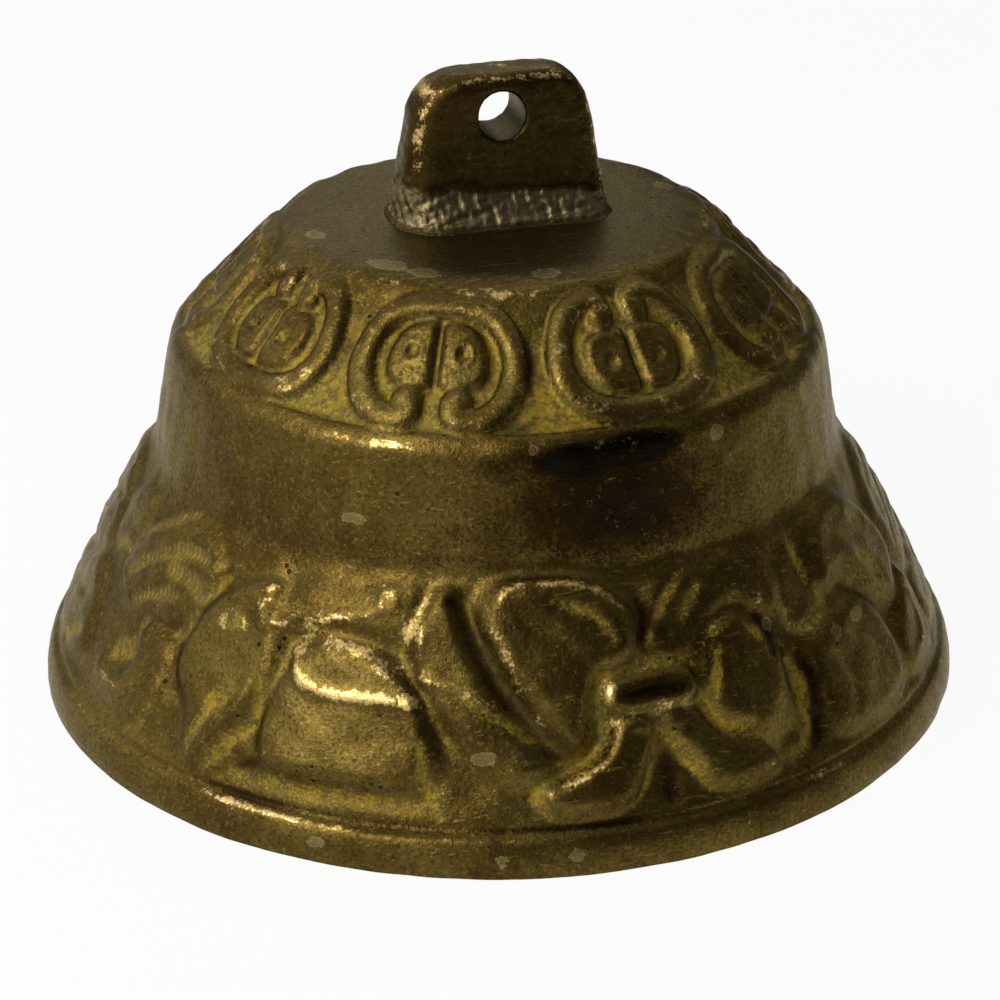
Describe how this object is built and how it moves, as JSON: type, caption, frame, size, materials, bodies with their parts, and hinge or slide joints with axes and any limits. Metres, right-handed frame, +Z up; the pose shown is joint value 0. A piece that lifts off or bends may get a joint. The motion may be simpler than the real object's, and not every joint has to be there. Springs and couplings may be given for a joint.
{
  "type": "altar bell",
  "caption": "Cast bronze bell with a low flared skirt in relief, a scroll frieze under the flat crown, a drilled lug on top and a ball clapper inside.",
  "frame": {"origin": "centre of the rim plane, which the bell stands on", "axes": "+Z up along the bell's axis, Y along the drilled hole of the lug, X along the lug's width"},
  "size_m": [0.08, 0.08, 0.0526],
  "materials": {
    "cast_bronze": "worn cast bronze, ochre patina in the recesses",
    "lug_bronze": "dark worn bronze with polished edges",
    "iron_wire": "browned iron wire",
    "iron_rod": "browned forged iron",
    "ball_brass": "dull brass, bright where it strikes"
  },
  "bodies": {
    "bell": {"bell_casting": "cast_bronze", "suspension_lug": "lug_bronze", "clapper_staple": "iron_wire"},
    "link": {"clapper_link": "iron_wire"},
    "clapper": {"clapper_rod": "iron_rod", "clapper_ball": "ball_brass"}
  },
  "joints": [
    {"name": "link_swing", "type": "hinge", "parent": "bell", "child": "link", "pos_m": [0, 0, 0.0332], "axis": [1, 0, 0], "range_deg": [-52, 52]},
    {"name": "clapper_swing", "type": "hinge", "parent": "link", "child": "clapper", "pos_m": [0, 0, 0.0283], "axis": [0, 1, 0], "range_deg": [-20, 20]}
  ]
}
